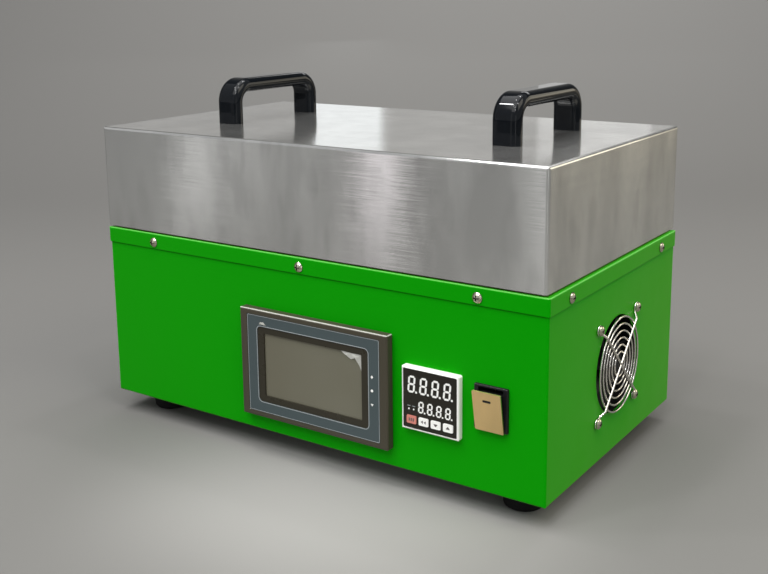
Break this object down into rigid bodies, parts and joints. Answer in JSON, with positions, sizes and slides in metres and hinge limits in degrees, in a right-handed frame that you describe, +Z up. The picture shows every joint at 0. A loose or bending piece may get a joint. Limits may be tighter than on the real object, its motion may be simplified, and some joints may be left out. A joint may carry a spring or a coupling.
{
  "type": "benchtop reflow oven",
  "caption": "Benchtop reflow oven: painted steel base with a heated platen and front controls under a lift-off stainless lid with two carrying handles.",
  "frame": {"origin": "on the floor, under the middle of the box that bounds the whole oven with its lid on", "axes": "+X to the right as seen from the control panel, +Y to the rear, +Z up; the control panel faces -Y"},
  "size_m": [0.4266, 0.2525, 0.2925],
  "materials": {
    "green_paint": "satin",
    "plated_steel": "satin",
    "nickel_screws": "polished",
    "foot_rubber": "matte",
    "seal_rubber": "matte",
    "panel_bezel": "satin",
    "panel_overlay": "satin",
    "panel_mask": "satin",
    "display_glass": "gloss",
    "black_plastic": "satin",
    "ivory_plastic": "satin",
    "controller_face": "satin",
    "circuit_board": "satin",
    "red_key": "satin",
    "gold_plate": "satin",
    "brass_parts": "satin",
    "chrome_wire": "polished",
    "stainless_well": "satin",
    "insulation": "matte",
    "raw_aluminium": "satin",
    "ceramic_tube": "satin",
    "brushed_stainless": "satin",
    "black_grip": "gloss"
  },
  "bodies": {
    "base": {"base_shell": "green_paint", "bottom_plate": "plated_steel", "deck_cap": "green_paint", "cap_screws": "nickel_screws", "bottom_screws": "nickel_screws", "foot_front_left": "foot_rubber", "foot_front_right": "foot_rubber", "foot_rear_left": "foot_rubber", "foot_rear_right": "foot_rubber", "foot_screws": "nickel_screws", "hmi_gasket": "seal_rubber", "hmi_bezel": "panel_bezel", "hmi_overlay": "panel_overlay", "hmi_mask": "panel_mask", "hmi_screen": "display_glass", "hmi_housing": "black_plastic", "hmi_clamps": "plated_steel", "ctrl_frame": "ivory_plastic", "ctrl_face": "controller_face", "ctrl_case": "black_plastic", "ctrl_board": "circuit_board", "ctrl_bracket": "black_plastic", "switch_housing": "black_plastic", "switch_terminals": "brass_parts", "fan_frame": "black_plastic", "fan_guard": "chrome_wire", "fan_screws": "nickel_screws", "well_pan": "stainless_well", "well_board": "insulation", "platen": "raw_aluminium", "cartridge_heaters": "stainless_well", "platen_standoffs": "ceramic_tube", "thermocouple": "stainless_well", "locating_collar": "plated_steel", "collar_screws": "nickel_screws", "deck_seal": "seal_rubber", "power_supply": "raw_aluminium", "heatsink": "raw_aluminium", "solid_state_relay": "ivory_plastic", "control_board": "circuit_board", "terminal_block": "ivory_plastic", "inlet_body": "black_plastic", "inlet_pins": "brass_parts", "inlet_screws": "nickel_screws", "earth_stud": "brass_parts"},
    "lid": {"lid_shell": "brushed_stainless", "lid_liner": "stainless_well", "lid_insulation": "insulation", "handle_left": "black_grip", "handle_right": "black_grip", "handle_screws": "nickel_screws"},
    "rocker": {"switch_rocker": "black_plastic", "switch_plate": "gold_plate"},
    "key_1": {"key_1": "red_key"},
    "key_2": {"key_2": "ivory_plastic"},
    "key_3": {"key_3": "ivory_plastic"},
    "key_4": {"key_4": "ivory_plastic"},
    "rotor": {"fan_rotor": "black_plastic"},
    "fuse_drawer": {"fuse_drawer": "black_plastic"}
  },
  "joints": [
    {"name": "lid_lift", "type": "slide", "parent": "base", "child": "lid", "axis": [0, 0, 1], "range_m": [0, 0.12]},
    {"name": "rocker_tilt", "type": "hinge", "parent": "base", "child": "rocker", "pos_m": [0.16657, -0.11604, 0.082], "axis": [-1, 0, 0], "range_deg": [0, 21]},
    {"name": "rotor_spin", "type": "hinge", "parent": "base", "child": "rotor", "pos_m": [0.19467, 0.00206, 0.0864], "axis": [1, 0, 0], "continuous": true},
    {"name": "fuse_drawer_slide", "type": "slide", "parent": "base", "child": "fuse_drawer", "axis": [0, 1, 0], "range_m": [0, 0.016]},
    {"name": "key_1_press", "type": "slide", "parent": "base", "child": "key_1", "axis": [0, 1, 0], "range_m": [0, 0.0005], "stiffness_N_per_m": 200},
    {"name": "key_2_press", "type": "slide", "parent": "base", "child": "key_2", "axis": [0, 1, 0], "range_m": [0, 0.0005], "stiffness_N_per_m": 200},
    {"name": "key_3_press", "type": "slide", "parent": "base", "child": "key_3", "axis": [0, 1, 0], "range_m": [0, 0.0005], "stiffness_N_per_m": 200},
    {"name": "key_4_press", "type": "slide", "parent": "base", "child": "key_4", "axis": [0, 1, 0], "range_m": [0, 0.0005], "stiffness_N_per_m": 200}
  ]
}
